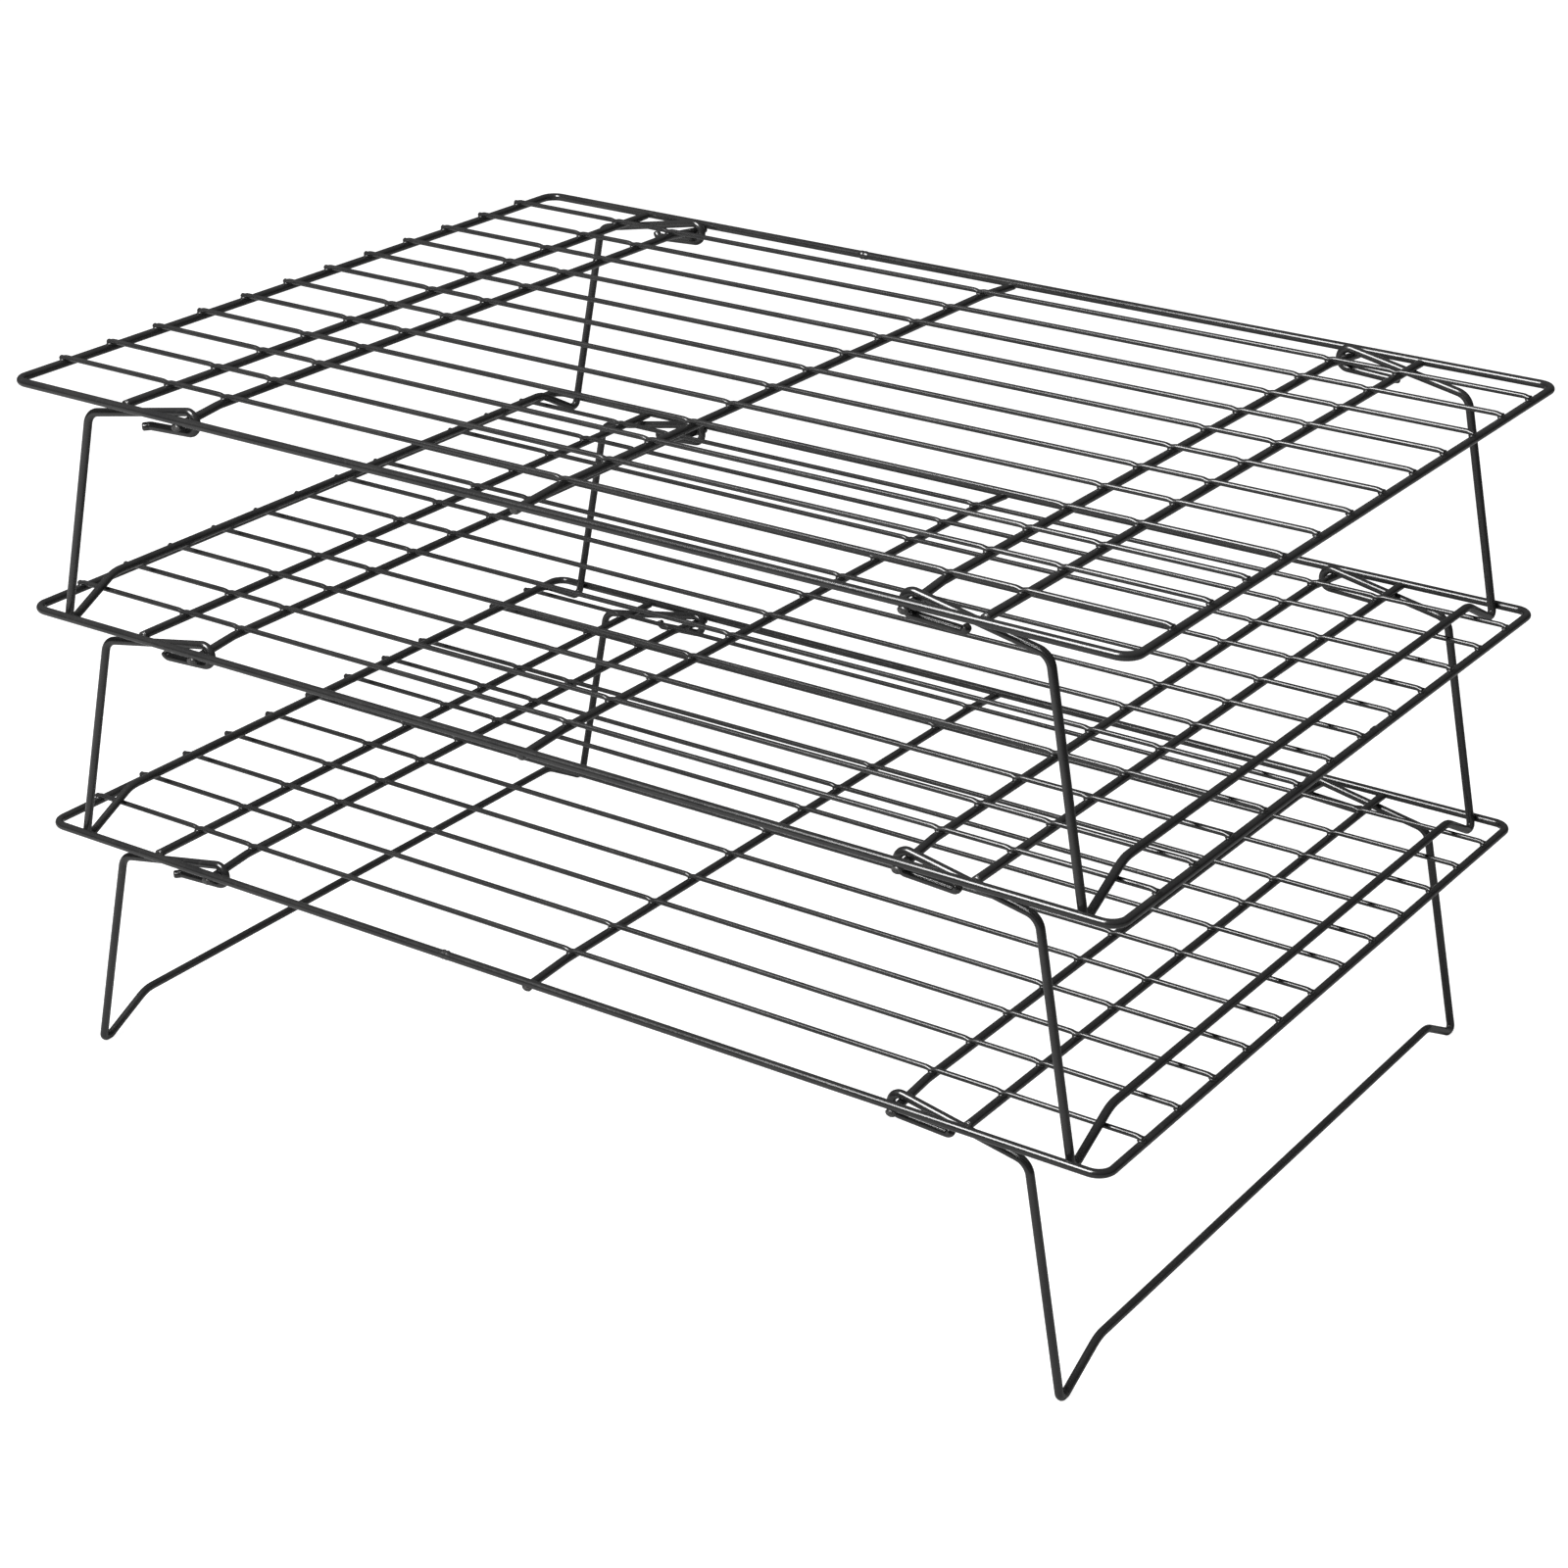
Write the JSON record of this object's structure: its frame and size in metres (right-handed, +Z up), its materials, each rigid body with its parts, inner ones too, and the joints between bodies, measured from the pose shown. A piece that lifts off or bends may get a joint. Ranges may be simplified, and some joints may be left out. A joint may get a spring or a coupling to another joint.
{
  "type": "cooling rack",
  "caption": "Stack of wire cooling racks: rounded rectangular frames carrying thin parallel grid wires, on folding wire legs, for cooling baked goods in tiers.",
  "frame": {"origin": "centre of the stack's footprint, on the surface it stands on", "axes": "+X along the rack's long side, +Y across it to the rear, +Z up"},
  "size_m": [0.4, 0.2784, 0.2357],
  "materials": {
    "black_coating": "baked black non-stick coating, semi-gloss, on steel wire"
  },
  "bodies": {
    "bottom_rack": {"bottom_frame": "black_coating", "bottom_centre_bar": "black_coating", "bottom_left_pivot_bar": "black_coating", "bottom_right_pivot_bar": "black_coating", "bottom_left_stop_bar": "black_coating", "bottom_right_stop_bar": "black_coating", "bottom_grid_wire_01": "black_coating", "bottom_grid_wire_02": "black_coating", "bottom_grid_wire_03": "black_coating", "bottom_grid_wire_04": "black_coating", "bottom_grid_wire_05": "black_coating", "bottom_grid_wire_06": "black_coating", "bottom_grid_wire_07": "black_coating", "bottom_grid_wire_08": "black_coating", "bottom_grid_wire_09": "black_coating", "bottom_grid_wire_10": "black_coating", "bottom_grid_wire_11": "black_coating", "bottom_grid_wire_12": "black_coating"},
    "bottom_left_leg": {"bottom_left_leg": "black_coating"},
    "bottom_right_leg": {"bottom_right_leg": "black_coating"},
    "middle_rack": {"middle_frame": "black_coating", "middle_centre_bar": "black_coating", "middle_left_pivot_bar": "black_coating", "middle_right_pivot_bar": "black_coating", "middle_left_stop_bar": "black_coating", "middle_right_stop_bar": "black_coating", "middle_grid_wire_01": "black_coating", "middle_grid_wire_02": "black_coating", "middle_grid_wire_03": "black_coating", "middle_grid_wire_04": "black_coating", "middle_grid_wire_05": "black_coating", "middle_grid_wire_06": "black_coating", "middle_grid_wire_07": "black_coating", "middle_grid_wire_08": "black_coating", "middle_grid_wire_09": "black_coating", "middle_grid_wire_10": "black_coating", "middle_grid_wire_11": "black_coating", "middle_grid_wire_12": "black_coating"},
    "middle_left_leg": {"middle_left_leg": "black_coating"},
    "middle_right_leg": {"middle_right_leg": "black_coating"},
    "top_rack": {"top_frame": "black_coating", "top_centre_bar": "black_coating", "top_left_pivot_bar": "black_coating", "top_right_pivot_bar": "black_coating", "top_left_stop_bar": "black_coating", "top_right_stop_bar": "black_coating", "top_grid_wire_01": "black_coating", "top_grid_wire_02": "black_coating", "top_grid_wire_03": "black_coating", "top_grid_wire_04": "black_coating", "top_grid_wire_05": "black_coating", "top_grid_wire_06": "black_coating", "top_grid_wire_07": "black_coating", "top_grid_wire_08": "black_coating", "top_grid_wire_09": "black_coating", "top_grid_wire_10": "black_coating", "top_grid_wire_11": "black_coating", "top_grid_wire_12": "black_coating"},
    "top_left_leg": {"top_left_leg": "black_coating"},
    "top_right_leg": {"top_right_leg": "black_coating"}
  },
  "joints": [
    {"name": "bottom_left_leg_fold", "type": "hinge", "parent": "bottom_rack", "child": "bottom_left_leg", "pos_m": [-0.13, 0, 0.07795], "axis": [0, -1, 0], "range_deg": [0, 125]},
    {"name": "bottom_right_leg_fold", "type": "hinge", "parent": "bottom_rack", "child": "bottom_right_leg", "pos_m": [0.13, 0, 0.07795], "axis": [0, 1, 0], "range_deg": [0, 125]},
    {"name": "middle_lift", "type": "slide", "parent": "bottom_rack", "child": "middle_rack", "axis": [0, 0, 1], "range_m": [0, 0.26]},
    {"name": "middle_left_leg_fold", "type": "hinge", "parent": "middle_rack", "child": "middle_left_leg", "pos_m": [-0.13, 0, 0.15425], "axis": [0, -1, 0], "range_deg": [0, 125]},
    {"name": "middle_right_leg_fold", "type": "hinge", "parent": "middle_rack", "child": "middle_right_leg", "pos_m": [0.13, 0, 0.15425], "axis": [0, 1, 0], "range_deg": [0, 125]},
    {"name": "top_lift", "type": "slide", "parent": "middle_rack", "child": "top_rack", "axis": [0, 0, 1], "range_m": [0, 0.26]},
    {"name": "top_left_leg_fold", "type": "hinge", "parent": "top_rack", "child": "top_left_leg", "pos_m": [-0.13, 0, 0.23055], "axis": [0, -1, 0], "range_deg": [0, 125]},
    {"name": "top_right_leg_fold", "type": "hinge", "parent": "top_rack", "child": "top_right_leg", "pos_m": [0.13, 0, 0.23055], "axis": [0, 1, 0], "range_deg": [0, 125]}
  ],
  "couplings": [
    {"joint": "middle_left_leg_fold", "follows": "middle_lift", "rad_per_m": 8.39},
    {"joint": "middle_right_leg_fold", "follows": "middle_lift", "rad_per_m": 8.39},
    {"joint": "top_left_leg_fold", "follows": "top_lift", "rad_per_m": 8.39},
    {"joint": "top_right_leg_fold", "follows": "top_lift", "rad_per_m": 8.39}
  ]
}
